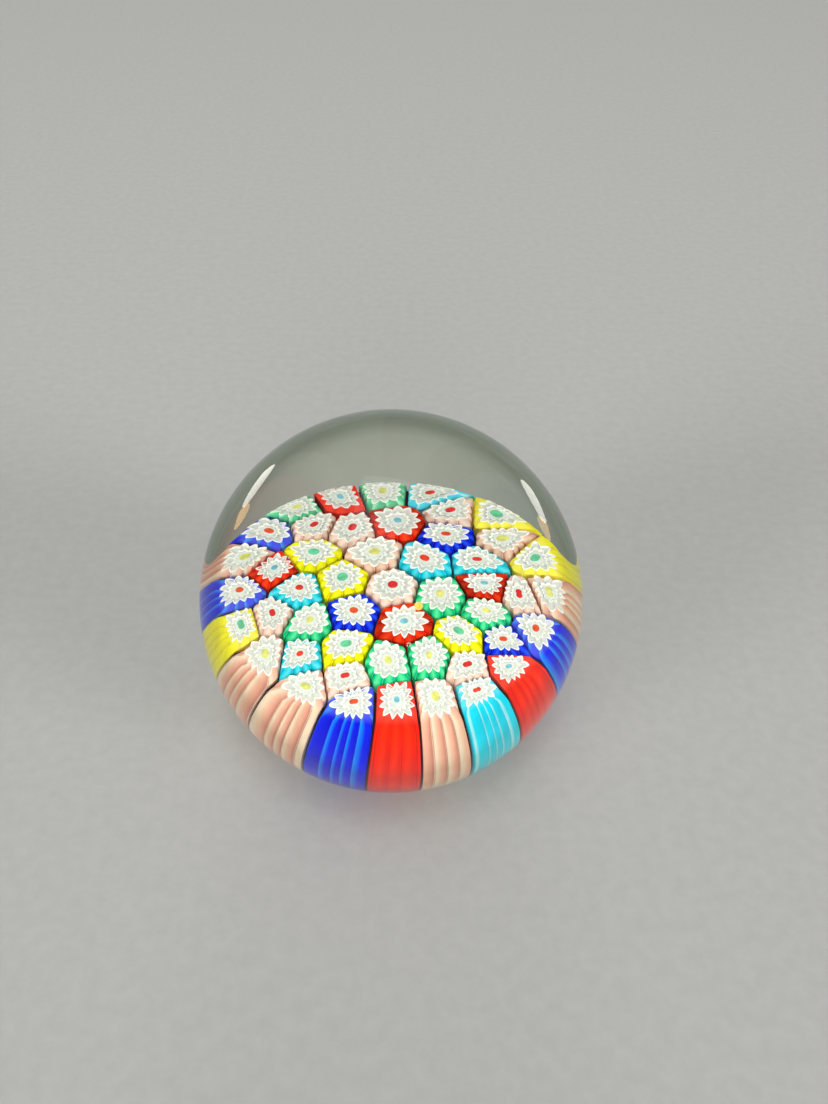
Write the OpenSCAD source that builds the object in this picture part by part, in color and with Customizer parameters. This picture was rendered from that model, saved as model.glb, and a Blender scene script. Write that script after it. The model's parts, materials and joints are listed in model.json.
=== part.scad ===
// Millefiori paperweight: a clear glass ball, ground flat underneath, cast over a cushion of
// upright patterned canes that stand on a dark glass core. Millimetres, +Z up, origin at the
// middle of the ground base.

/* [Ball] */
// Diameter of the clear glass ball
ball_d = 70; // [68:1:76]
// Height of the ball's centre above the ground base
centre_h = 24.5; // [23:0.5:26]
// Width of the ground bevel around the base
base_bevel = 0.6; // [0.3:0.1:1.5]

/* [Cushion] */
// Height of the cushion's crown above the base
crown_h = 27; // [26:0.5:28]
// Radius of the crown's curve
crown_r = 46; // [42:1:55]
// Radius of the cushion's rounded side
side_r = 22; // [21:0.5:22.5]
// Height of the widest part of the cushion
side_h = 15; // [14:0.5:16]
// Length of a cane under the crown
cane_len = 12; // [11:0.5:13]
// Thickness of the wall that the outer canes make around the core
wall_t = 5.5; // [4.5:0.5:6]
// Height above the base at which the outer canes end
skirt_h = 2; // [1.5:0.5:3]

/* [Canes] */
// Gap between neighbouring canes
cane_gap = 0.3; // [0.1:0.05:0.5]
// Rounds of evening out that the cane pattern gets
relax_rounds = 1; // [0:1:3]
// Largest radius of a cane's white star
star_r = 2.5; // [2:0.1:2.7]
// Number of points on a star
star_points = 12; // [10:1:14]
// Radius between two points as a share of the radius at a point
star_waist = 0.8; // [0.7:0.05:0.9]
// Turn from one cane's star to the next
star_turn = 37; // [0:1:90]
// Depth of the star layer under the crown
star_depth = 8; // [6:1:9]
// Least thickness of casing around a star
casing_t = 0.25; // [0.15:0.05:0.4]
// Radius of the coloured rod in a star's middle
rod_r = 0.5; // [0.3:0.05:0.7]
// Clearance that keeps casing, star and rod separate solids
hairline = 0.05; // [0.03:0.01:0.1]

/* [Hidden] */
// Centre height of the crown's curve, and the rim where the crown meets the side
crown_c = crown_h - crown_r;
rim_drop = (pow(side_h - crown_c, 2) + crown_r * crown_r - side_r * side_r) / (2 * (side_h - crown_c));
rim_r = sqrt(crown_r * crown_r - rim_drop * rim_drop);

// Rows of canes: [row name, radius as a share of the rim, start angle, angle covered, recipes,
// how much of the angle each cane takes]. Angles run anticlockwise seen from above, from +X.
ROWS = [
    ["centre", 0.00, 0, 360, "w", [1]],
    ["first", 0.31, -112, 360, "rgtpyc", [1.2, 1, 1, 1, 0.8, 1]],
    ["second", 0.58, -138, 360, "yggygrtcrwytg",
        [1.15, 1, 0.95, 0.95, 0.8, 0.8, 0.8, 1.1, 1.2, 0.9, 1.1, 1.15, 1.1]],
    ["right", 0.78, -63, 140, "wcwpw", [0.8, 1, 1.2, 1.1, 0.9]],
    ["left", 0.74, 106, 152, "wrwtw", [1.3, 0.95, 0.95, 1.05, 0.75]],
    ["outer", 0.92, -140, 360, "pcrptrcpyytgrgcpcyp",
        [1.3, 1, 0.9, 0.9, 0.9, 1.15, 1.1, 1, 1.3, 1.3, 1.1, 0.8, 0.75, 0.8, 0.8, 0.8, 0.95, 0.95, 1.2]],
];

// Recipes: [letter, casing colour, rod colour]
RECIPES = [
    ["r", "red", "lightskyblue"],
    ["c", "mediumblue", "red"],
    ["t", "turquoise", "red"],
    ["g", "mediumseagreen", "gold"],
    ["y", "yellow", "limegreen"],
    ["p", "lightpink", "gold"],
    ["w", "mistyrose", "red"],
];

function sum_to(list, n, i = 0) = i >= n ? 0 : list[i] + sum_to(list, n, i + 1);
function two_digits(n) = n < 10 ? str("0", n) : str(n);

// Every cane: [node name, recipe letter, true on the outer row, first place]
CANES = [
    for (row = ROWS)
        let (widths = row[5], all_widths = sum_to(widths, len(widths)))
        for (k = [0 : len(widths) - 1])
            let (share = (sum_to(widths, k) + widths[k] / 2) / all_widths)
            let (angle = row[2] + row[3] * share)
            [
                str("cane_", row[0], "_", two_digits(k + 1)),
                row[4][k],
                row[0] == "outer",
                row[1] * rim_r * [cos(angle), sin(angle)]
            ]
];

// Part of a convex outline on the near side of the line n . p = d
function clip(outline, n, d) = [
    for (i = [0 : len(outline) - 1])
        let (a = outline[i], b = outline[(i + 1) % len(outline)])
        let (over_a = n * a - d, over_b = n * b - d)
        each concat(
            over_a <= 0 ? [a] : [],
            over_a * over_b < 0 ? [a + (b - a) * over_a / (over_a - over_b)] : []
        )
];

// Cell of place i among the others, a half gap back from each halfway line
function cell(outline, places, i, gap, others, k = 0) =
    k == len(others) ? outline :
    let (away = places[others[k]] - places[i], apart = norm(away))
    let (n = away / (apart > 0 ? apart : 1))
    let (d = n * places[i] + (apart - gap) / 2)
    cell(others[k] == i ? outline : clip(outline, n, d), places, i, gap, others, k + 1);

// Area-weighted middle of an outline, and the least distance from a point to its edges
function cross_z(a, b) = a[0] * b[1] - a[1] * b[0];
function total(list, i = 0) = i == len(list) - 1 ? list[i] : list[i] + total(list, i + 1);
function middle(o) =
    let (n = len(o))
    let (w = [for (i = [0 : n - 1]) cross_z(o[i], o[(i + 1) % n])])
    total([for (i = [0 : n - 1]) (o[i] + o[(i + 1) % n]) * w[i]]) / (3 * total(w));
function clearance(o, p) = min([
    for (i = [0 : len(o) - 1])
        let (a = o[i], b = o[(i + 1) % len(o)])
        cross_z(b - a, p - a) / norm(b - a)
]);

// Cell of a cane inside a many-sided boundary, and the places after the evening-out rounds
function ring_outline(r, n) = [for (i = [0 : n - 1]) r * [cos(360 * i / n), sin(360 * i / n)]];
ALL = [for (i = [0 : len(CANES) - 1]) i];
OUTER = [for (i = ALL) if (CANES[i][2]) i];
RIM = ring_outline(rim_r, 60);
BOUND = ring_outline(side_r * 1.4, 24);
function relaxed(places, rounds) =
    rounds == 0 ? places :
    relaxed([for (i = ALL) middle(cell(RIM, places, i, 0, ALL))], rounds - 1);
PLACES = relaxed([for (c = CANES) c[3]], relax_rounds);

$fn = 96;
margin = 1;
tall = crown_h + margin;
// How far an outer cane's wedge stays back from the canes above it and beside it
wedge_back = 0.3;

// Solid ball about the vertical axis
module ball(r, h) {
    translate([0, 0, h]) sphere(r);
}

// Solid ball about the middle of the crown's curve, with its poles off the crown
module crown_ball(r) {
    translate([0, 0, crown_c]) rotate([90, 0, 0]) sphere(r);
}

// Everything between two heights
module slab(low, high) {
    wide = 2 * ball_d;
    translate([-wide / 2, -wide / 2, low]) cube([wide, wide, high - low]);
}

// Whole cushion of canes, with its core
module cushion() {
    intersection() {
        crown_ball(crown_r);
        ball(side_r, side_h);
    }
}

// Rounded dark body under the canes
module core_body() {
    intersection() {
        crown_ball(crown_r - cane_len);
        ball(side_r - wall_t, side_h);
        slab(0, tall);
    }
}

// Upright prism on an outline
module prism(outline) {
    translate([0, 0, -margin]) linear_extrude(tall + 2 * margin) polygon(outline);
}

// Outline of a star with sharp points
module star_outline(r) {
    polygon([
        for (i = [0 : 2 * star_points - 1])
            r * (i % 2 == 0 ? 1 : star_waist) * [cos(180 * i / star_points), sin(180 * i / star_points)]
    ]);
}

// Upright column on the outline that is its child, in the cushion's upper layer
module column(place, depth) {
    difference() {
        intersection() {
            translate([place[0], place[1], 0]) linear_extrude(tall) children();
            crown_ball(crown_r);
        }
        crown_ball(crown_r - depth);
    }
}

// Cell of an inner cane, from the crown down to the core
module inner_cell(i) {
    difference() {
        intersection() {
            prism(cell(BOUND, PLACES, i, cane_gap, ALL));
            crown_ball(crown_r);
        }
        crown_ball(crown_r - cane_len);
    }
}

// Cell of an outer cane, which widens to a wedge below the inner canes and turns under the core
module outer_cell(i) {
    difference() {
        intersection() {
            union() {
                prism(cell(BOUND, PLACES, i, cane_gap, ALL));
                intersection() {
                    prism(cell(BOUND, PLACES, i, cane_gap + wedge_back, OUTER));
                    crown_ball(crown_r - cane_len - wedge_back);
                }
            }
            cushion();
            slab(skirt_h, tall);
        }
        core_body();
    }
}

// Clear ball with the hollow that the cushion fills
module clear_dome() {
    base_r = sqrt(ball_d * ball_d / 4 - centre_h * centre_h);
    color("aliceblue", 0.3)
    difference() {
        intersection() {
            ball(ball_d / 2, centre_h);
            cylinder(h = ball_d, r1 = base_r - base_bevel, r2 = base_r - base_bevel + ball_d);
        }
        cushion();
    }
}

// Dark core with the foot that closes the ground base
module ground_core() {
    color([0.08, 0.02, 0.03])
    union() {
        core_body();
        intersection() {
            cushion();
            slab(0, skirt_h);
        }
    }
}

// One cane: casing, star layer and centre rod
module cane(i) {
    recipe = RECIPES[search(CANES[i][1], RECIPES)[0]];
    face = cell(RIM, PLACES, i, cane_gap, ALL);
    place = middle(face);
    r = min(star_r, clearance(face, place) - casing_t);
    turn = (i + 0.5) * star_turn;

    color(recipe[1])
    difference() {
        if (CANES[i][2]) outer_cell(i);
        else inner_cell(i);
        column(place, star_depth + hairline) rotate(turn) star_outline(r + hairline);
    }
    color("white")
    column(place, star_depth)
    difference() {
        rotate(turn) star_outline(r);
        circle(rod_r + hairline);
    }
    color(recipe[2])
    column(place, star_depth) circle(rod_r);
}

clear_dome();
ground_core();
for (i = ALL) cane(i);
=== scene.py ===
import json
import math
import random

import bpy
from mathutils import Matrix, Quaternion, Vector
from mathutils.geometry import convex_hull_2d


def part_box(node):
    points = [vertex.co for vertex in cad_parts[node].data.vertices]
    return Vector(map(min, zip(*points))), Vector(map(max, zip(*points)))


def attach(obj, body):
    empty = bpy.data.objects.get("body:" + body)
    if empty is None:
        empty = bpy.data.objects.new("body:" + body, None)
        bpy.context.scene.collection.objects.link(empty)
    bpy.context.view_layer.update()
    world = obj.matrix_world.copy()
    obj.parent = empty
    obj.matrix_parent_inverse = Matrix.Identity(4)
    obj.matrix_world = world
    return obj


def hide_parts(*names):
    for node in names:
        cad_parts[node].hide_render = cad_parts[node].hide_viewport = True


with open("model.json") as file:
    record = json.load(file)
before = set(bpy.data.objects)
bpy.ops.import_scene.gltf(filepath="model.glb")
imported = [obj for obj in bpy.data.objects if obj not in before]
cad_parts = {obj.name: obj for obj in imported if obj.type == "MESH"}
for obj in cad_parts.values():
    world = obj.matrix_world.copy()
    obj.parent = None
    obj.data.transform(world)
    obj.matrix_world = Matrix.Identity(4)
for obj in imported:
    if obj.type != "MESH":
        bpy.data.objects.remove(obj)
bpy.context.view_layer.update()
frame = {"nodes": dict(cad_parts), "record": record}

MM = 0.001
TAU = 2 * math.pi

# ---------------------------------------------------------------- sizes of the ball and the cushion
dome_low, dome_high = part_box("clear_dome")
BALL_R = (dome_high.x - dome_low.x) / 2
CENTRE_H = dome_high.z - BALL_R
BASE_R = math.sqrt(BALL_R ** 2 - CENTRE_H ** 2)
BASE_BEVEL = 0.6 * MM

# Crown's curve, the cushion's rounded side, and the length, wall and foot of the canes
CROWN_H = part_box("cane_centre_01")[1].z
CROWN_R = 46 * MM
CROWN_C = CROWN_H - CROWN_R
SIDE_R = 22 * MM
SIDE_H = 15 * MM
CANE_LEN = 12 * MM
WALL_T = 5.5 * MM
SKIRT_H = 2 * MM

# Rim where the crown meets the side
RIM_DROP = ((SIDE_H - CROWN_C) ** 2 + CROWN_R ** 2 - SIDE_R ** 2) / (2 * (SIDE_H - CROWN_C))
RIM_R = math.sqrt(CROWN_R ** 2 - RIM_DROP ** 2)
RIM_Z = CROWN_C + RIM_DROP

# ---------------------------------------------------------------- shape of the visual canes
# Rounding of the rim, and how far a cane's skin goes past its CAD cell to close the gap
RIM_ROUND = 0.9 * MM
SNUG = 0.1 * MM

# An outer cane's lean to the back, its swirl, and the drops over which the lean sets in and its
# long sides turn towards the axis
LEAN = math.tan(math.radians(24))
LEAN_TOP = RIM_Z + 0.5 * MM
SWIRL = math.radians(-3)
LEAN_EASE = 2 * MM
TURN_EASE = 4 * MM

# Top of the flank, and the heights between which an outer cane deepens into a wedge, moves out
# into the wall and comes to follow its lean
FLANK_TOP = RIM_Z - 1.2 * MM
DEEPENS = (11 * MM, 17 * MM)
MOVES_OUT = (12 * MM, 19 * MM)
FOLLOWS_LEAN = (17 * MM, LEAN_TOP)
WEDGE = 9 * MM

# Heights between which grooves come back at an outer cane's corners, and the share of the flank's
# width over which they fade out there
CORNER_GROOVES = (RIM_Z - 4 * MM, RIM_Z + 1 * MM)
CORNER_SHARE = 0.08

# Least distance to a side, least slope at which a side faces a direction, rounding powers (the
# higher, the sharper), and the step between levels
LEAST_SPAN = 0.2 * MM
LEAST_SLOPE = 0.001
FLANK_POWER = 40
INNER_POWER = 6
STAR_POWER = 16
LEVEL_STEP = 0.05 * MM

# Numbers of points that a star may have, steps around for each point, steps of evening out each
# way, and rings down the flank of an outer cane and an inner one
STAR_POINTS = (11, 12, 12, 13)
PER_POINT = 14
SOFTEN = 7
OUTER_STEPS = 26
INNER_STEPS = 6

# Depth at which the collar around a star ends, width of a white rim as a share of the cane's
# radius, and height of a petal's fold
COLLAR_DEPTH = 1.3 * MM
RIM_WIDTH = 0.055
FOLD = 0.12 * MM

SLOT_OF = {part["node"]: part["material_slot"] for part in frame["record"]["subparts"]}
CANES = sorted(name for name in frame["nodes"] if name.startswith("cane_"))


def crown_z(r):
    """Height of the cushion's crown at a distance from the axis."""
    return CROWN_C + math.sqrt(max(CROWN_R ** 2 - r * r, 0))


def side_at(z, inset=0.0):
    """Radius of the cushion's side at a height."""
    return math.sqrt(max((SIDE_R - inset) ** 2 - (z - SIDE_H) ** 2, 0))


def smooth(low, high, x):
    """Smooth step from 0 at low to 1 at high."""
    t = min(max((x - low) / (high - low), 0), 1)
    return t * t * (3 - 2 * t)


# ---------------------------------------------------------------- materials
def material(name):
    """New node material, with its Principled shader."""
    m = bpy.data.materials.new(name)
    m.use_nodes = True
    return m, m.node_tree, m.node_tree.nodes["Principled BSDF"]


def add(tree, kind, **values):
    """New node with the given properties and input values."""
    node = tree.nodes.new(kind)
    for key, value in values.items():
        if key in node.inputs:
            node.inputs[key].default_value = value
        else:
            setattr(node, key, value)
    return node


def grey(value):
    """Colour with three equal channels."""
    return (value,) * 3


def ramp(tree, source, stops):
    """Colour of a ramp fed by a socket; stops are (place, colour)."""
    node = tree.nodes.new("ShaderNodeValToRGB")
    band = node.color_ramp
    while len(band.elements) < len(stops):
        band.elements.new(0.5)
    for element, (place, colour) in zip(band.elements, stops):
        element.position = place
        element.color = (*colour, 1)
    tree.links.new(source, node.inputs["Fac"])
    return node.outputs["Color"]


def attribute(tree, name):
    """Factor output of a mesh attribute."""
    return add(tree, "ShaderNodeAttribute", attribute_name=name).outputs["Fac"]


def noise(tree, scale, detail=3.0, stretch=(1, 1, 1)):
    """Noise in the object's own space, stretched along an axis if asked."""
    place = tree.nodes.new("ShaderNodeTexCoord")
    turn = tree.nodes.new("ShaderNodeMapping")
    turn.inputs["Scale"].default_value = stretch
    tree.links.new(place.outputs["Object"], turn.inputs["Vector"])
    node = add(tree, "ShaderNodeTexNoise", Scale=scale, Detail=detail)
    tree.links.new(turn.outputs["Vector"], node.inputs["Vector"])
    return node.outputs["Fac"]


def mixed(tree, factor, a, b, blend="MIX"):
    """Mix of two colours, each a socket or a plain colour."""
    node = tree.nodes.new("ShaderNodeMix")
    node.data_type = "RGBA"
    node.blend_type = blend
    for value, socket in ((factor, node.inputs[0]), (a, node.inputs[6]), (b, node.inputs[7])):
        if hasattr(value, "is_output"):
            tree.links.new(value, socket)
        elif isinstance(value, tuple):
            socket.default_value = (*value, 1)
        else:
            socket.default_value = value
    return node.outputs[2]


def multiplied(tree, a, b):
    """Product of two colours."""
    return mixed(tree, 1.0, a, b, "MULTIPLY")


def bump(tree, shader, height, strength, distance):
    """Roughens a shader's surface by a height."""
    node = add(tree, "ShaderNodeBump", Strength=strength, Distance=distance)
    tree.links.new(height, node.inputs["Height"])
    tree.links.new(node.outputs["Normal"], shader.inputs["Normal"])


def matte_glass(shader):
    """Glass seen through the clear glass around it: it has no gloss of its own."""
    shader.inputs["Roughness"].default_value = 0.6
    shader.inputs["Specular IOR Level"].default_value = 0.0


def streaked(tree, coloured, cloud):
    """Multiplies a colour by streaks drawn out along the cane, and by soft clouds."""
    streaks = ramp(tree, noise(tree, 900, 4, (1, 1, 0.12)), [(0.3, grey(0.88)), (0.65, grey(1.0))])
    clouds = ramp(tree, noise(tree, 180), [(0.4, grey(cloud)), (0.58, grey(1.0))])
    return multiplied(tree, multiplied(tree, coloured, streaks), clouds)


def casing_material(name, recipe):
    """Casing of an inner cane: each lobe is painted lightest along its middle and darkest at its
    grooves, as painted light and shade on its rounded form, and the casing is painted darker further
    down, as painted shade in the gaps between the canes.
    """
    m, tree, shader = material(name)
    # Painted light and shade: each lobe lightest along its middle and darkest at the grooves on either
    # side.
    lobe = ramp(tree, attribute(tree, "rib"), [
        (0.0, recipe.dark),
        (0.2, recipe.body),
        (0.5, recipe.light),
        (0.8, recipe.body),
        (1.0, recipe.dark),
    ])
    # Painted shade: the casing darkens with its depth below the crown, down in the narrow gaps between
    # the canes.
    sunk = ramp(tree, attribute(tree, "depth"), [(0.0, grey(1)), (0.1, grey(0.9)), (0.3, grey(0.25))])
    coloured = multiplied(tree, streaked(tree, lobe, recipe.cloud), sunk)
    tree.links.new(coloured, shader.inputs["Base Color"])
    matte_glass(shader)
    bump(tree, shader, noise(tree, 1400, 2), 0.2, 0.05 * MM)
    return m


def wall_material(name, recipe):
    """Casing of an outer cane: striped ribs, hazy under the star, and taking on the foot colour towards
    the foot. Where that colour is multiplied in, it is painted shade; where it is mixed in, it is a
    paler tone.
    """
    m, tree, shader = material(name)
    coloured = streaked(tree, ramp(tree, attribute(tree, "rib"), recipe.stripes), WALL_CLOUD)
    haze = ramp(tree, attribute(tree, "depth"), [(0.0, grey(0.12)), (0.05, grey(0.0))])
    coloured = mixed(tree, haze, coloured, recipe.haze)
    # Painted shade where the foot colour is multiplied in: the wall darkens towards its foot.
    foot = ramp(tree, attribute(tree, "depth"), [(0.68, grey(0.0)), (0.98, grey(1.0))])
    low = mixed(tree, 1.0, coloured, recipe.foot, recipe.foot_blend)
    coloured = mixed(tree, foot, coloured, low)
    tree.links.new(coloured, shader.inputs["Base Color"])
    matte_glass(shader)
    bump(tree, shader, noise(tree, 1400, 2, (1, 1, 0.1)), 0.25, 0.05 * MM)
    return m


def petal_material(name, recipe):
    """Milky layer inside the star's white rims, tinted by the casing towards the star's points and
    painted darker towards the valleys between them, as painted shade in its folds."""
    m, tree, shader = material(name)
    radial = ramp(tree, attribute(tree, "radial"), [(0.45, SHADE), (0.9, recipe.tint)])
    # Painted shade: each petal darkens towards the valley between two points, where it folds down.
    fold = ramp(tree, attribute(tree, "rib"), [
        (0.0, grey(1.0)),
        (0.25, grey(0.91)),
        (0.5, grey(0.81)),
        (0.75, grey(0.96)),
        (1.0, grey(1.0)),
    ])
    grain = ramp(tree, noise(tree, 1500, 4), [(0.3, grey(0.9)), (0.65, grey(1.0))])
    coloured = multiplied(tree, multiplied(tree, radial, fold), grain)
    tree.links.new(coloured, shader.inputs["Base Color"])
    matte_glass(shader)
    bump(tree, shader, noise(tree, 2500, 3), 0.3, 0.04 * MM)
    return m


def enamel_material(name, colour, dark):
    """Opaque enamel glass with faint mottling, down to a share of its colour."""
    m, tree, shader = material(name)
    low = tuple(c * dark for c in colour)
    mottle = ramp(tree, noise(tree, 1200, 4), [(0.35, low), (0.6, colour)])
    tree.links.new(mottle, shader.inputs["Base Color"])
    matte_glass(shader)
    bump(tree, shader, noise(tree, 3000, 2), 0.2, 0.03 * MM)
    return m


def foot_share(tree, low, high):
    """1 below the low height in the object's own space, falling to 0 at the high one."""
    place = tree.nodes.new("ShaderNodeTexCoord")
    height = tree.nodes.new("ShaderNodeSeparateXYZ")
    tree.links.new(place.outputs["Object"], height.inputs["Vector"])
    share = tree.nodes.new("ShaderNodeMapRange")
    for key, value in (("From Min", low), ("From Max", high), ("To Min", 1.0), ("To Max", 0.0)):
        share.inputs[key].default_value = value
    tree.links.new(height.outputs["Z"], share.inputs["Value"])
    return share.outputs["Result"]


def crystal_material():
    """Clear lead glass with the faintest fire-polished ripple and a scuffed foot. Its colour is painted
    darker towards its rim as painted shade, standing in for the shadow under the ball seen through it.
    Lamps reach what is inside it. What lies behind it is in its shadow, which is full where light
    meets the surface head-on and fades at a slant."""
    m, tree, shader = material("clear_crystal")
    slant = add(tree, "ShaderNodeLayerWeight", Blend=0.5).outputs["Facing"]
    # Painted shade: the glass's colour darkens towards its rim, standing in for the shadow under the ball
    # that shows through the glass there.
    painted_rim_shade = ramp(tree, slant, [(0.5, (0.92, 0.93, 0.83)), (0.62, (0.54, 0.545, 0.43))])
    tree.links.new(painted_rim_shade, shader.inputs["Base Color"])
    shader.inputs["Transmission Weight"].default_value = 1.0
    shader.inputs["IOR"].default_value = 1.5
    shader.inputs["Specular Tint"].default_value = (0.45, 0.45, 0.45, 1)
    smear = ramp(tree, noise(tree, 60, 5), [(0.45, grey(0.0)), (0.8, grey(0.03))])
    scuffs = ramp(tree, noise(tree, 2500, 4), [(0.35, grey(0.25)), (0.65, grey(0.5))])
    frosted = mixed(tree, foot_share(tree, 0.5 * MM, 0.8 * MM), smear, scuffs)
    tree.links.new(frosted, shader.inputs["Roughness"])
    bump(tree, shader, noise(tree, 45, 2), 0.04, 0.2 * MM)

    entering = ramp(tree, slant, [(0.3, grey(0.0)), (0.45, grey(0.04)), (0.62, grey(0.85))])
    side = tree.nodes.new("ShaderNodeNewGeometry")
    passed = mixed(tree, side.outputs["Backfacing"], entering, grey(1.0))
    clear = tree.nodes.new("ShaderNodeBsdfTransparent")
    tree.links.new(passed, clear.inputs["Color"])
    path = tree.nodes.new("ShaderNodeLightPath")
    either = tree.nodes.new("ShaderNodeMixShader")
    tree.links.new(path.outputs["Is Shadow Ray"], either.inputs["Fac"])
    tree.links.new(shader.outputs["BSDF"], either.inputs[1])
    tree.links.new(clear.outputs["BSDF"], either.inputs[2])
    tree.links.new(either.outputs["Shader"], tree.nodes["Material Output"].inputs["Surface"])
    return m


def amber_material():
    """Honey-coloured skin of the one stained bubble."""
    m, tree, shader = material("amber_bubble")
    stain = ramp(tree, noise(tree, 1800, 3), [(0.35, (1.0, 0.55, 0.01)), (0.6, (1.0, 0.85, 0.15))])
    tree.links.new(stain, shader.inputs["Base Color"])
    shader.inputs["Transmission Weight"].default_value = 0.25
    shader.inputs["Roughness"].default_value = 0.15
    return m


def ground_material():
    """Near-black maroon colour with cloudy variation, which keeps the gaps between the canes dark."""
    m, tree, shader = material("dark_ground_glass")
    clouds = ramp(tree, noise(tree, 300, 4), [(0.35, (0.008, 0.003, 0.004)), (0.7, (0.06, 0.012, 0.012))])
    tree.links.new(clouds, shader.inputs["Base Color"])
    matte_glass(shader)
    bump(tree, shader, noise(tree, 800, 3), 0.3, 0.05 * MM)
    return m


class Recipe:
    """One kind of cane. An inner cane's casing has body, light and dark: its body colour, a light one
    painted along the middle of each lobe and a dark one at its grooves, as painted light and shade.
    An outer cane's has stripes across each rib, a haze under the star and a foot colour with the way
    it is blended in; a foot colour that is multiplied in paints shade towards the foot.
    The star has a tint at its points and a rod, whose share is its part of the cane's radius.
    Then come the star's share of the radius, the depth of the grooves between ribs in millimetres,
    how far the collar around the star slopes, how pointed the star's teeth are, and how dark the
    inner casing's clouds are."""

    def __init__(self, *, body, light, dark, stripes, haze, foot, foot_blend, tint, rod, rod_share,
                 star_share, groove, collar, tooth, cloud=0.92):
        self.body, self.light, self.dark = body, light, dark
        self.stripes, self.haze = stripes, haze
        self.foot, self.foot_blend = foot, foot_blend
        self.tint, self.rod, self.rod_share = tint, rod, rod_share
        self.star_share, self.groove = star_share, groove
        self.collar, self.tooth, self.cloud = collar, tooth, cloud


# How dark the clouds of an outer cane's casing are
WALL_CLOUD = 0.92

# Rod colours
SKY, RUBY = (0.22, 0.60, 0.74), (0.78, 0.04, 0.04)
LEMON, LEAF = (0.80, 0.80, 0.22), (0.16, 0.66, 0.36)

# Foot colours: a dark one multiplied into a wall paints shade towards its foot; ivory is mixed in as
# a paler tone
IVORY, PAINTED_FOOT_SHADE = (0.80, 0.82, 0.66), (0.30, 0.22, 0.24)

# Stripes across a pink rib, from one groove to the next: mauve painted as shade in the groove, a
# cream band painted as the highlight on one side of the rib, peach and salmon across it, and
# rosewood painted as shade towards the next groove
MAUVE, CREAM, PEACH = (0.40, 0.17, 0.15), (0.96, 0.76, 0.56), (0.93, 0.55, 0.39)
SALMON, ROSEWOOD = (0.88, 0.40, 0.28), (0.66, 0.27, 0.20)
PINK_STRIPES = [
    (0.0, MAUVE),
    (0.05, CREAM),
    (0.2, CREAM),
    (0.42, PEACH),
    (0.72, SALMON),
    (0.9, ROSEWOOD),
    (1.0, MAUVE),
]

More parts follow.
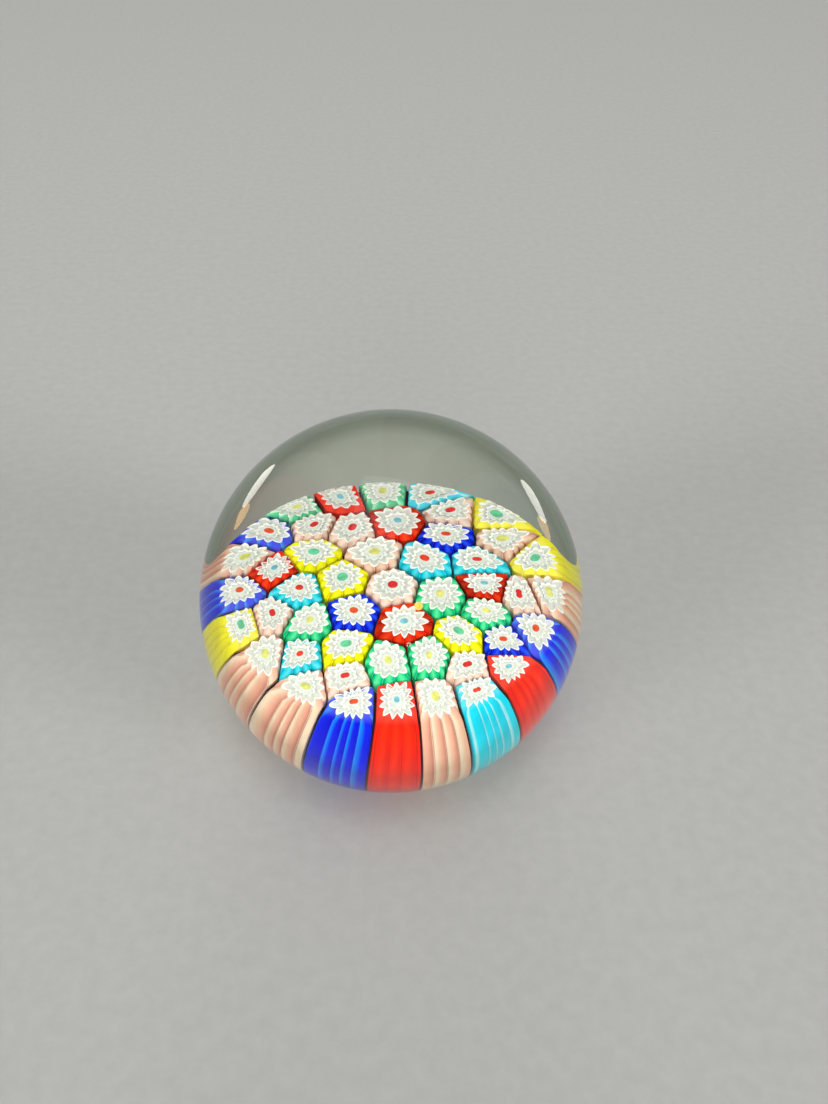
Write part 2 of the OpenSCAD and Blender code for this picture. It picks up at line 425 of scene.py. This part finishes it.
RECIPES = {
    "cane_red": Recipe(
        body=(0.95, 0.02, 0.0),
        light=(1.0, 0.07, 0.01),
        dark=(0.42, 0.0, 0.0),
        stripes=[
            (0.0, (0.42, 0.002, 0.0)),
            (0.06, (0.95, 0.01, 0.0)),
            (0.5, (1.0, 0.03, 0.0)),
            (0.94, (0.85, 0.006, 0.0)),
        ],
        haze=(0.9, 0.3, 0.25), foot=PAINTED_FOOT_SHADE, foot_blend="MULTIPLY",
        tint=(0.82, 0.63, 0.67), rod=SKY, rod_share=0.165,
        star_share=0.94, groove=0.05, collar=0.2, tooth=1.15, cloud=0.5,
    ),
    "cane_cobalt": Recipe(
        body=(0.0, 0.01, 0.80),
        light=(0.02, 0.10, 1.0),
        dark=(0.0, 0.0, 0.25),
        stripes=[
            (0.0, (0.02, 0.30, 1.0)),
            (0.14, (0.0, 0.20, 1.0)),
            (0.4, (0.0, 0.012, 0.88)),
            (0.9, (0.0, 0.002, 0.74)),
            (0.99, (0.0, 0.01, 0.5)),
        ],
        haze=(0.55, 0.68, 1.0), foot=(0.45, 0.4, 0.5), foot_blend="MULTIPLY",
        tint=(0.72, 0.76, 0.93), rod=(0.85, 0.10, 0.03), rod_share=0.19,
        star_share=0.95, groove=0.22, collar=0.4, tooth=1.4,
    ),
    "cane_turquoise": Recipe(
        body=(0.0, 0.62, 0.80),
        light=(0.12, 0.82, 0.93),
        dark=(0.0, 0.30, 0.42),
        stripes=[
            (0.0, (0.45, 0.92, 1.0)),
            (0.08, (0.40, 0.92, 1.0)),
            (0.2, (0.0, 0.74, 0.95)),
            (0.85, (0.0, 0.68, 0.93)),
            (0.96, (0.0, 0.45, 0.66)),
        ],
        haze=(0.75, 0.95, 1.0), foot=(0.5, 0.5, 0.5), foot_blend="MULTIPLY",
        tint=(0.68, 0.86, 0.90), rod=(0.85, 0.06, 0.03), rod_share=0.19,
        star_share=0.95, groove=0.2, collar=0.35, tooth=1.3,
    ),
    "cane_green": Recipe(
        body=(0.0, 0.58, 0.22),
        light=(0.12, 0.86, 0.37),
        dark=(0.0, 0.22, 0.10),
        stripes=[
            (0.0, (0.4, 0.95, 0.6)),
            (0.14, (0.3, 0.9, 0.5)),
            (0.35, (0.02, 0.66, 0.26)),
            (0.9, (0.0, 0.40, 0.16)),
        ],
        haze=(0.75, 1.0, 0.85), foot=(0.4, 0.4, 0.4), foot_blend="MULTIPLY",
        tint=(0.72, 0.88, 0.75), rod=LEMON, rod_share=0.20,
        star_share=0.95, groove=0.22, collar=0.4, tooth=1.5,
    ),
    "cane_yellow": Recipe(
        body=(0.92, 0.88, 0.0),
        light=(1.0, 1.0, 0.02),
        dark=(0.45, 0.36, 0.0),
        stripes=[
            (0.0, (0.60, 0.45, 0.0)),
            (0.06, (1.0, 0.95, 0.0)),
            (0.75, (0.98, 0.90, 0.0)),
            (0.97, (0.85, 0.62, 0.0)),
        ],
        haze=(1.0, 1.0, 0.7), foot=IVORY, foot_blend="MIX",
        tint=(0.84, 0.88, 0.64), rod=LEAF, rod_share=0.25,
        star_share=0.93, groove=0.12, collar=0.3, tooth=1.3,
    ),
    "cane_pink": Recipe(
        body=(0.90, 0.52, 0.38),
        light=(0.95, 0.72, 0.55),
        dark=(0.40, 0.17, 0.13),
        stripes=PINK_STRIPES,
        haze=(0.95, 0.88, 0.75), foot=IVORY, foot_blend="MIX",
        tint=(0.88, 0.80, 0.71), rod=LEMON, rod_share=0.24,
        star_share=0.99, groove=0.26, collar=0.45, tooth=1.4,
    ),
    "cane_pale_pink": Recipe(
        body=(0.90, 0.60, 0.48),
        light=(0.95, 0.78, 0.66),
        dark=(0.45, 0.22, 0.18),
        stripes=PINK_STRIPES,
        haze=(0.95, 0.88, 0.8), foot=IVORY, foot_blend="MIX",
        tint=(0.88, 0.77, 0.73), rod=RUBY, rod_share=0.22,
        star_share=0.99, groove=0.26, collar=0.45, tooth=1.3,
    ),
}

# Whites of the star: its rims, the ring around the rod, and the cog and the petals' inner ends
WHITE = (0.97, 0.98, 0.93)
MILK = (0.78, 0.83, 0.77)
SHADE = (0.73, 0.77, 0.71)
RIM_WHITE = enamel_material("star_rim_white", WHITE, 0.94)
HALO_WHITE = enamel_material("star_halo_white", MILK, 0.88)
CORE_GREY = enamel_material("star_core_grey", SHADE, 0.85)
ROD_OF = {slot: enamel_material(slot + "_rod", recipe.rod, 0.7) for slot, recipe in RECIPES.items()}
PETALS_OF = {slot: petal_material(slot + "_petals", recipe) for slot, recipe in RECIPES.items()}
CASING_OF = {slot: casing_material(slot + "_casing", recipe) for slot, recipe in RECIPES.items()}
WALL_OF = {slot: wall_material(slot + "_wall", recipe) for slot, recipe in RECIPES.items()}

# Places of these materials on a cane's mesh
CASING, PETALS, RIM, HALO, CORE, ROD = range(6)


# ---------------------------------------------------------------- mesh helpers
def new_piece(name, mesh, node, materials):
    """Links a mesh as a piece of the object that stands for a CAD node."""
    piece = bpy.data.objects.new(name, mesh)
    bpy.context.scene.collection.objects.link(piece)
    for m in materials:
        mesh.materials.append(m)
    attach(piece, "root")
    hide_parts(node)


def ring_mesh(name, top, rings, bottom, bands, attributes):
    """Closed mesh from a top point, rings of equal count, and a bottom point. bands has a
    material index for each band of faces, from the top point down; attributes maps a name to
    its values, in the order of the points."""
    count = len(rings[0])
    points = [top] + [p for ring in rings for p in ring] + [bottom]
    last = len(points) - 1
    faces, indices = [], []
    for j in range(count):
        k = (j + 1) % count
        faces.append((0, 1 + j, 1 + k))
        indices.append(bands[0])
        for i in range(len(rings) - 1):
            a, b = 1 + i * count, 1 + (i + 1) * count
            faces.append((a + j, b + j, b + k, a + k))
            indices.append(bands[i + 1])
        a = 1 + (len(rings) - 1) * count
        faces.append((a + j, last, a + k))
        indices.append(bands[-1])
    mesh = bpy.data.meshes.new(name)
    mesh.from_pydata(points, [], faces)
    mesh.polygons.foreach_set("material_index", indices)
    mesh.polygons.foreach_set("use_smooth", [True] * len(faces))
    for key, values in attributes.items():
        mesh.attributes.new(key, "FLOAT", "POINT").data.foreach_set("value", values)
    mesh.update()
    mesh.set_sharp_from_angle(angle=math.radians(50))
    return mesh


def lathe(name, profile, segments):
    """Closed mesh turned about the vertical axis. The profile runs from the axis at the top to
    the axis at the bottom."""
    turns = [TAU * j / segments for j in range(segments)]
    rings = [[(r * math.cos(a), r * math.sin(a), z) for a in turns] for r, z in profile[1:-1]]
    top, bottom = (0, 0, profile[0][1]), (0, 0, profile[-1][1])
    return ring_mesh(name, top, rings, bottom, [0] * (len(rings) + 1), {})


def compass(angle):
    """Direction with the given azimuth."""
    return Vector((math.cos(angle), math.sin(angle)))


def azimuth(p):
    """Azimuth of a point or a direction."""
    return math.atan2(p.y, p.x)


# ---------------------------------------------------------------- canes
class Cell:
    """What a cane's CAD node says about its shape: the straight edges of its face."""

    def __init__(self, node):
        self.outer = node.startswith("cane_outer")
        points = [v.co for v in frame["nodes"][node].data.vertices]
        face = [
            Vector((p.x, p.y)) for p in points
            if abs(p.z - crown_z(math.hypot(p.x, p.y))) < 0.03 * MM
        ]
        hull = [face[i] for i in convex_hull_2d(face)]
        area = sum(a.x * b.y - a.y * b.x for a, b in zip(hull, hull[1:] + hull[:1]))
        if area < 0:
            hull.reverse()
        self.edges = self.straight_edges(hull)
        self.centre = self.middle(hull)
        self.levels = {}

    @staticmethod
    def middle(hull):
        """Area-weighted middle of an outline."""
        pairs = list(zip(hull, hull[1:] + hull[:1]))
        weights = [a.x * b.y - a.y * b.x for a, b in pairs]
        total = sum(weights)
        x = sum((a.x + b.x) * w for (a, b), w in zip(pairs, weights)) / (3 * total)
        y = sum((a.y + b.y) * w for (a, b), w in zip(pairs, weights)) / (3 * total)
        return Vector((x, y))

    def straight_edges(self, hull):
        """(normal, offset) of each straight edge, anticlockwise, without the arc at the rim."""
        shortest, near_rim, one_line = 0.05 * MM, RIM_R - 0.1 * MM, 0.06
        runs = []
        for a, b in zip(hull, hull[1:] + hull[:1]):
            if (b - a).length < shortest:
                continue
            rim = self.outer and min(a.length, b.length) > near_rim
            angle = azimuth(b - a)
            if runs and runs[-1][2] == rim and abs(math.remainder(angle - runs[-1][3], TAU)) < one_line:
                runs[-1][1] = b
            else:
                runs.append([a, b, rim, angle])
        first = next((i for i, run in enumerate(runs) if run[2]), 0)
        edges = []
        for a, b, rim, _ in runs[first:] + runs[:first]:
            if not rim:
                normal = Vector((b.y - a.y, a.x - b.x)).normalized()
                edges.append((normal, normal.dot(a)))
        return edges


def soft_min(values, power):
    """Smallest value, rounded off where two are close."""
    return sum(v ** -power for v in values) ** (-1 / power)


def to_circle(centre, way, radius):
    """Distance from a point inside a circle about the axis to the circle."""
    b = centre.dot(way)
    return -b + math.sqrt(max(b * b - centre.length_squared + radius * radius, 0))


def crown(r):
    """Height of the cushion's top at a distance from the axis, rounded over at the rim."""
    side = SIDE_H + math.sqrt(max(SIDE_R ** 2 - r * r, 0))
    gap = (side - crown_z(r)) / RIM_ROUND
    return crown_z(r) - RIM_ROUND * math.log1p(math.exp(-min(gap, 60)))


class Level:
    """Limits of a cane at one height: its middle, its flat sides and, for an outer cane, the
    cushion's flank and the hollow behind it. An outer cane leans to the back on its way down."""

    def __init__(self, cell, z):
        self.middle = cell.centre
        self.circle = self.hollow = None
        if not cell.outer:
            self.sides = [(normal, offset + SNUG) for normal, offset in cell.edges]
            return
        self.sides = []
        self.circle = side_at(min(z, FLANK_TOP))
        drop = max(LEAN_TOP - z, 0)
        self.low = self.lean(cell.edges[-1], cell.centre, -1, drop)
        self.high = self.lean(cell.edges[0], cell.centre, 1, drop)
        self.high = self.low + (self.high - self.low) % TAU

        # The inner sides go back into a wedge, and never cut the corners on the flank
        deep = 1 - smooth(*DEEPENS, z)
        corners = [compass(heading) * self.circle for heading in (self.low, self.high)]
        for normal, offset in cell.edges[1:-1]:
            clear = max(normal.dot(corner) for corner in corners) + SNUG
            self.sides.append((normal, max(offset + SNUG + deep * WEDGE, clear)))

        # The middle moves from the cell's to the wall's, and sideways with the lean
        wall = (side_at(z) + side_at(z, WALL_T)) / 2
        moved = 1 - smooth(*MOVES_OUT, z)
        heading = azimuth(cell.centre)
        aside = math.remainder((self.low + self.high) / 2 - heading, TAU)
        heading += aside * (1 - smooth(*FOLLOWS_LEAN, z))
        self.middle = compass(heading) * (cell.centre.length * (1 - moved) + wall * moved)
        if deep > 0:
            self.hollow = self.middle.length - deep * side_at(z, WALL_T)

    def lean(self, edge, centre, side, drop):
        """Adds an outer cane's long side, leaned, to the sides, and returns the azimuth of its
        corner on the flank."""
        normal, offset = edge
        along = Vector((-normal.y, normal.x))
        if along.dot(centre) < 0:
            along.negate()
        rim = side_at(FLANK_TOP)
        start = azimuth(normal * offset + along * math.sqrt(rim * rim - offset * offset))
        shift = LEAN * drop * smooth(0, LEAN_EASE, drop) / SIDE_R
        heading = start + shift * math.cos(start) + SWIRL * drop / LEAN_TOP
        radial = compass(heading + side * TAU / 4)
        leaned = normal.lerp(radial, smooth(0, TURN_EASE, drop)).normalized()
        self.sides.append((leaned, leaned.dot(compass(heading) * self.circle)))
        return heading

    def reach(self, way, power):
        """Distance from the middle to the cane's skin, before the ribs."""
        spans = []
        for normal, offset in self.sides:
            slope = normal.dot(way)
            if slope > LEAST_SLOPE:
                spans.append(max(offset - normal.dot(self.middle), LEAST_SPAN) / slope)
        if self.circle:
            spans.append(to_circle(self.middle, way, self.circle))
        if self.hollow:
            slope = -way.dot(self.middle.normalized())
            if slope > LEAST_SLOPE:
                spans.append(self.hollow / slope)
        return soft_min(spans, power)

    def corner_turns(self):
        """Heading from the middle to the low corner on the flank, and the turn to the high one."""
        start = azimuth(compass(self.low) * self.circle - self.middle)
        return start, (azimuth(compass(self.high) * self.circle - self.middle) - start) % TAU


def level_at(cell, z):
    """Limits of the cane at a height, worked out once for each step of height."""
    key = round(z / LEVEL_STEP)
    if key not in cell.levels:
        cell.levels[key] = Level(cell, key * LEVEL_STEP)
    return cell.levels[key]


def flank_way(cell, way, z):
    """Turns a direction at an outer cane's top into the one at a height, so that a rib keeps its
    share of the flank's width all the way down. Also says how far that is from the corners."""
    top, level = level_at(cell, LEAN_TOP), level_at(cell, z)
    start, out = top.corner_turns()
    new_start, new_out = level.corner_turns()
    turned = (azimuth(way) - start) % TAU
    if turned > out:
        return compass(new_start + new_out + (turned - out) * (TAU - new_out) / (TAU - out)), 0
    p = top.middle + way * to_circle(top.middle, way, top.circle)
    share = min(max(math.remainder(azimuth(p) - top.low, TAU) / (top.high - top.low), 0), 1)
    way = compass(level.low + share * (level.high - level.low)) * level.circle - level.middle
    return way.normalized(), smooth(0, CORNER_SHARE, min(share, 1 - share))


def make_cane(node, dice):
    """One cane: rod, milky core, inner cog, petals and white rims on its face, ribbed casing below."""
    cell = Cell(node)
    slot = SLOT_OF[node]
    recipe = RECIPES[slot]
    points = dice.choice(STAR_POINTS)
    count = points * PER_POINT
    turn = dice.uniform(0, TAU / points)
    twist = dice.uniform(-0.12, 0.12)
    star_share = recipe.star_share * dice.uniform(0.92, 0.98)
    waist = dice.uniform(0.70, 0.77)
    cog_share = dice.uniform(0.50, 0.56)
    rod = recipe.rod_share * dice.uniform(0.8, 0.95)
    shift = Vector((dice.uniform(-1, 1), dice.uniform(-1, 1) + 2)) * 0.12 * MM
    wobble = [dice.uniform(-1, 1) for _ in range(points)]
    sharp = INNER_POWER / recipe.collar
    centre = cell.centre + shift

    def saw(j):
        """Share of the way from one point of the star to the next."""
        return (j % PER_POINT) / PER_POINT

    def point_wave(j):
        """1 at a point of the star and 0 halfway between two."""
        return abs(1 - 2 * saw(j))

    def way_at(j, spin=0.0):
        return compass(turn + spin + TAU * j / count)

    # The skin at the top, evened out, and its swing from long to short axis
    skin = [level_at(cell, CROWN_H).reach(way_at(j), sharp) for j in range(count)]
    window = range(-SOFTEN, SOFTEN + 1)
    soft = [sum(skin[(j + k) % count] for k in window) / len(window) for j in range(count)]
    mean = sum(soft) / count
    grooves = [recipe.groove * MM * (1 - math.sqrt(1 - point_wave(j) ** 2)) for j in range(count)]
    along = sum(r * math.cos(2 * TAU * j / count) for j, r in enumerate(soft)) / count
    across = sum(r * math.sin(2 * TAU * j / count) for j, r in enumerate(soft)) / count

    # Radii of the star, the cog inside it and the rod. They are ovals drawn out with the cell
    star, cog, dot = [], [], []
    for j in range(count):
        turned = 2 * TAU * j / count
        oval = along * math.cos(turned) + across * math.sin(turned)
        dot.append(rod * (mean + 3.2 * oval))
        soft[j] = soft_min((0.45 * soft[j] + 0.55 * (mean + 2 * oval), skin[j]), STAR_POWER)
        jitter = 1 + 0.025 * wobble[((j + PER_POINT // 2) // PER_POINT) % points]
        tooth = 1 - (1 - point_wave(j)) ** recipe.tooth
        star.append(soft[j] * star_share * jitter * (waist + (1 - waist) * tooth))
        cog.append(soft[j] * cog_share * (0.80 + 0.20 * tooth))
    w = RIM_WIDTH * mean
    fold = [FOLD * (point_wave(j) - 0.5) for j in range(count)]

    rings, bands = [], []

    def ring(lengths, drop, band, folded=0.0):
        """Ring on the face. drop is its depth under the crown in millimetres, band the material
        of the faces inside it, and folded how much of the petals' fold it has."""
        row = []
        for j in range(count):
            p = centre + way_at(j) * lengths[j]
            row.append((p.x, p.y, crown(p.length) - (drop * MM - folded * fold[j])))
        rings.append(row)
        bands.append(band)

    ring([0.7 * d for d in dot], 0.02, ROD)
    ring(dot, 0.05, ROD)
    ring([1.15 * d for d in dot], 0.03, HALO)
    ring([(rod + 0.12) * s for s in soft], 0.05, HALO)
    ring([0.80 * c for c in cog], 0.16, CORE)
    ring([0.88 * c for c in cog], 0.04, RIM)
    ring(cog, 0.03, RIM)
    ring([c + 0.4 * w for c in cog], 0.18, PETALS)
    ring([c * 0.5 + (s - 2.6 * w) * 0.5 for c, s in zip(cog, star)], 0.13, PETALS, 1.0)
    ring([s - 2.6 * w for s in star], 0.15, PETALS, 1.0)
    ring([s - 2.2 * w for s in star], 0.08, RIM, 0.5)
    ring([s - 1.8 * w for s in star], 0.16, PETALS, 0.5)
    ring([s - 1.2 * w for s in star], 0.0, RIM, 0.3)
    ring([s - 0.2 * w for s in star], 0.0, RIM, 0.3)
    ring(star, 0.08, RIM)
    face_rings = len(rings)

    foot_z = SKIRT_H if cell.outer else CROWN_H - CANE_LEN

    def skin_point(j, sink, star_part=0.0, z_share=0.0):
        """Point of the casing: sink is its depth under the crown near the top, star_part how much
        of the star's outline is in it, and z_share runs from there to the cane's foot."""
        way = way_at(j, 0 if cell.outer else twist * z_share)
        face = skin[j] - grooves[j]
        top = cell.centre + way_at(j) * (face + (star[j] - face) * star_part)
        z = (crown(top.length) - sink) * (1 - z_share) + foot_z * z_share
        level = level_at(cell, z)
        open_share = 1
        if cell.outer:
            way, open_share = flank_way(cell, way, z)
            open_share += (1 - open_share) * smooth(*CORNER_GROOVES, z)
        power = FLANK_POWER if cell.outer else sharp
        length = level.reach(way, power) - grooves[j] * open_share
        p = level.middle + way * (length + (star[j] - length) * star_part)
        return (p.x, p.y, z)

    def casing_ring(sink, star_part, z_share):
        rings.append([skin_point(j, sink, star_part, z_share) for j in range(count)])
        bands.append(CASING)

    for star_part, sink in ((0.85, 0.22), (0.6, 0.40), (0.3, 0.7), (0.1, 1.0)):
        casing_ring(sink * recipe.collar * MM, star_part, 0.0)
    steps = OUTER_STEPS if cell.outer else INNER_STEPS
    for k in range(steps + 1):
        casing_ring(COLLAR_DEPTH, 0.0, k / steps)
    bands.append(CASING)
    top = (*centre, crown(centre.length))
    foot = rings[-1]
    bottom = tuple(sum(p[k] for p in foot) / count for k in range(3))

    # Place across a rib, depth below the rim or the crown, and place from rod to star's edge
    rib, depth, radial = [0.0], [0.0], [0.0]
    for i, row in enumerate(rings):
        for j, (x, y, z) in enumerate(row):
            rib.append(saw(j))
            start = RIM_Z if cell.outer else crown(math.hypot(x, y))
            sunk = (start - z) / (RIM_Z - SKIRT_H) if i >= face_rings else 0.0
            depth.append(max(sunk, 0.0))
            radial.append(min(i / face_rings, 1))
    rib.append(0.5)
    depth.append(1.0)
    radial.append(1.0)
    mesh = ring_mesh(node + "_glass", top, rings, bottom, bands,
                     {"rib": rib, "depth": depth, "radial": radial})
    outside = WALL_OF[slot] if cell.outer else CASING_OF[slot]
    layers = [outside, PETALS_OF[slot], RIM_WHITE, HALO_WHITE, CORE_GREY, ROD_OF[slot]]
    new_piece(node + "_glass", mesh, node, layers)


# ---------------------------------------------------------------- dark ground under and between the canes
def make_ground():
    """Rounded body under the canes' faces and behind their flanks, with a flat foot."""
    inset = 0.6 * MM
    sunk = 1.7 * MM
    lift = 0.02 * MM
    crown_rings, side_rings, segments = 24, 32, 96
    radius = SIDE_R - inset
    profile = [(0, CROWN_H - sunk)]
    for k in range(1, crown_rings):
        r = (RIM_R - inset) * k / crown_rings
        profile.append((r, crown_z(r) - sunk))
    low = -math.asin((SIDE_H - lift) / radius)
    high = math.asin((RIM_Z - sunk - SIDE_H) / radius)
    for k in range(side_rings + 1):
        angle = high + (low - high) * k / side_rings
        profile.append((radius * math.cos(angle), SIDE_H + radius * math.sin(angle)))
    profile.append((0, profile[-1][1]))
    mesh = lathe("dark_ground", profile, segments)
    new_piece("dark_ground", mesh, "ground_core", [ground_material()])


# ---------------------------------------------------------------- clear ball
# East, north, radius and clearance over the canes of each air bubble, in millimetres. The first
# one is stained.
BUBBLES = [
    (3.4, -4.1, 0.58, 0.1),
    (2.2, -10.2, 0.32, 0.2),
    (8.9, -5.3, 0.24, 0.2),
    (-12.4, 6.0, 0.12, 0.5),
    (-6.8, 10.6, 0.1, 0.9),
    (13.6, 7.4, 0.12, 0.7),
    (-9.3, -11.8, 0.1, 0.3),
    (6.1, 14.2, 0.14, 0.4),
    (-15.2, -3.5, 0.1, 0.3),
    (15.4, -7.9, 0.11, 0.2),
    (0.7, 6.3, 0.09, 1.4),
]


def add_bubble(points, faces, centre, radius, rows=8):
    """Adds a small hollow, with its faces turned inwards, to lists of points and faces."""
    start = len(points)
    around = 2 * rows
    points.append((centre.x, centre.y, centre.z + radius))
    for i in range(1, rows):
        a = math.pi * i / rows
        for j in range(around):
            b = TAU * j / around
            points.append((
                centre.x + radius * math.sin(a) * math.cos(b),
                centre.y + radius * math.sin(a) * math.sin(b),
                centre.z + radius * math.cos(a),
            ))
    points.append((centre.x, centre.y, centre.z - radius))
    last = len(points) - 1
    for j in range(around):
        k = (j + 1) % around
        faces.append((start, start + 1 + k, start + 1 + j))
        for i in range(rows - 2):
            a, b = start + 1 + i * around, start + 1 + (i + 1) * around
            faces.append((a + j, a + k, b + k, b + j))
        a = start + 1 + (rows - 2) * around
        faces.append((a + j, a + k, last))


def make_ball():
    """Outer surface of the ball, ground flat underneath, with a few air bubbles over the canes."""
    rows, segments = 120, 240
    foot = -math.asin(CENTRE_H / BALL_R)
    bevel_top = foot + BASE_BEVEL / BALL_R
    profile = [(0, CENTRE_H + BALL_R)]
    for k in range(1, rows + 1):
        a = math.pi / 2 + (bevel_top - math.pi / 2) * k / rows
        profile.append((BALL_R * math.cos(a), CENTRE_H + BALL_R * math.sin(a)))
    profile.append((BASE_R - BASE_BEVEL, 0))
    profile.append((0, 0))
    surface = lathe("crystal_surface", profile, segments)
    points = [tuple(v.co) for v in surface.vertices]
    faces = [tuple(p.vertices) for p in surface.polygons]
    indices = [0] * len(faces)
    for i, (x, y, size, above) in enumerate(BUBBLES):
        place = Vector((x, y)) * MM
        height = crown_z(place.length) + (size + above) * MM
        add_bubble(points, faces, Vector((place.x, place.y, height)), size * MM)
        indices += [1 if i == 0 else 0] * (len(faces) - len(indices))
    mesh = bpy.data.meshes.new("crystal_ball")
    mesh.from_pydata(points, [], faces)
    mesh.polygons.foreach_set("material_index", indices)
    mesh.polygons.foreach_set("use_smooth", [True] * len(faces))
    mesh.set_sharp_from_angle(angle=math.radians(30))
    new_piece("crystal_ball", mesh, "clear_dome", [crystal_material(), amber_material()])


# ---------------------------------------------------------------- stage, light and camera
def make_floor():
    """Plain pale floor, a hair under the base."""
    half, z = 6.0, -0.05 * MM
    mesh = bpy.data.meshes.new("floor")
    corners = [(-half, -half, z), (half, -half, z), (half, half, z), (-half, half, z)]
    mesh.from_pydata(corners, [], [(0, 1, 2, 3)])
    m, tree, shader = material("pale_floor")
    speck = ramp(tree, noise(tree, 400, 4), [(0.3, (0.41, 0.41, 0.39)), (0.7, (0.44, 0.44, 0.42))])
    tree.links.new(speck, shader.inputs["Base Color"])
    shader.inputs["Roughness"].default_value = 0.55
    shader.inputs["Specular IOR Level"].default_value = 0.0
    mesh.materials.append(m)
    floor = bpy.data.objects.new("floor", mesh)
    bpy.context.scene.collection.objects.link(floor)


def new_lamp(light, way):
    """Links a lamp that shines along a direction."""
    lamp = bpy.data.objects.new(light.name, light)
    lamp.rotation_euler = way.to_track_quat("-Z", "Y").to_euler()
    bpy.context.scene.collection.objects.link(lamp)
    return lamp


def area_light(name, shape, place, width, height, power, colour=(1, 1, 1)):
    """Lamp with a size, turned to the middle of the ball."""
    light = bpy.data.lights.new(name, "AREA")
    light.shape = shape
    light.size = width
    light.size_y = height
    light.energy = power
    light.color = colour
    lamp = new_lamp(light, Vector((0, 0, CENTRE_H)) - Vector(place))
    lamp.location = place
    return lamp


def far_light(name, heading, elevation, energy, angle):
    """Soft light from far away that shows in no reflection and not through the glass. The angles
    are its place in the sky and its width, in degrees."""
    light = bpy.data.lights.new(name, "SUN")
    light.energy = energy
    light.angle = math.radians(angle)
    rise = math.radians(elevation)
    flat = compass(math.radians(heading)) * math.cos(rise)
    lamp = new_lamp(light, -Vector((*flat, math.sin(rise))))
    lamp.visible_glossy = False
    lamp.visible_transmission = False


def make_light():
    """A softbox above, far lights all round, and four low lamps behind the ball that light nothing
    but show in its glass as two bright crescents."""
    pale, warm = (1, 0.97, 0.9), (1, 0.6, 0.2)
    area_light("overhead", "RECTANGLE", (-0.10, 0.02, 0.75), 0.7, 0.3, 1.2)
    far_light("above", 90, 90, 0.8, 18)
    far_light("front_left", -145, 12, 2.0, 25)
    far_light("front", -90, 12, 0.7, 25)
    far_light("front_right", -28, 12, 2.2, 25)
    far_light("rear", 90, 12, 0.7, 25)
    for name, place, width, power, colour in (
        ("low_left", (-0.36, 0.42, 0.03), 0.16, 0.16, pale),
        ("low_right", (0.40, 0.38, 0.03), 0.16, 0.16, pale),
        ("warm_left", (-0.42, 0.32, 0.03), 0.08, 0.07, warm),
        ("warm_right", (0.45, 0.29, 0.03), 0.08, 0.07, warm),
    ):
        lamp = area_light(name, "ELLIPSE", place, width, 0.09, power, colour)
        lamp.visible_diffuse = False
    world = bpy.data.worlds.new("studio")
    world.use_nodes = True
    sky = world.node_tree.nodes["Background"]
    sky.inputs["Color"].default_value = (0.93, 0.95, 0.97, 1)
    sky.inputs["Strength"].default_value = 0.32
    bpy.context.scene.world = world


def make_camera():
    """Looks down at the ball from the front. The ball fills 0.4626 of the frame's width, and sits
    a little left of the middle and below it."""
    elevation = math.radians(45)
    distance = 5 * BALL_R
    sensor = 36
    ball_share = 0.4626 / 2
    left, below = 0.0266, 0.0568
    focal = ball_share * math.sqrt((distance / BALL_R) ** 2 - 1)
    data = bpy.data.cameras.new("camera")
    data.sensor_fit = "HORIZONTAL"
    data.sensor_width = sensor
    data.lens = sensor * focal
    data.clip_start = 0.005
    camera = bpy.data.objects.new("camera", data)
    centre = Vector((0, 0, CENTRE_H))
    back = Vector((0, -math.cos(elevation), math.sin(elevation)))
    look = (-back).to_track_quat("-Z", "Y")
    tilt = Quaternion((1, 0, 0), math.atan(below / focal))
    pan = Quaternion((0, 1, 0), -math.atan(left / focal))
    camera.location = centre + back * distance
    camera.rotation_euler = (look @ pan @ tilt).to_euler()
    bpy.context.scene.collection.objects.link(camera)
    bpy.context.scene.camera = camera


dice = random.Random(7)
for cane in CANES:
    make_cane(cane, dice)
make_ground()
make_ball()
make_floor()
make_light()
make_camera()
bpy.context.scene.view_settings.view_transform = "Standard"
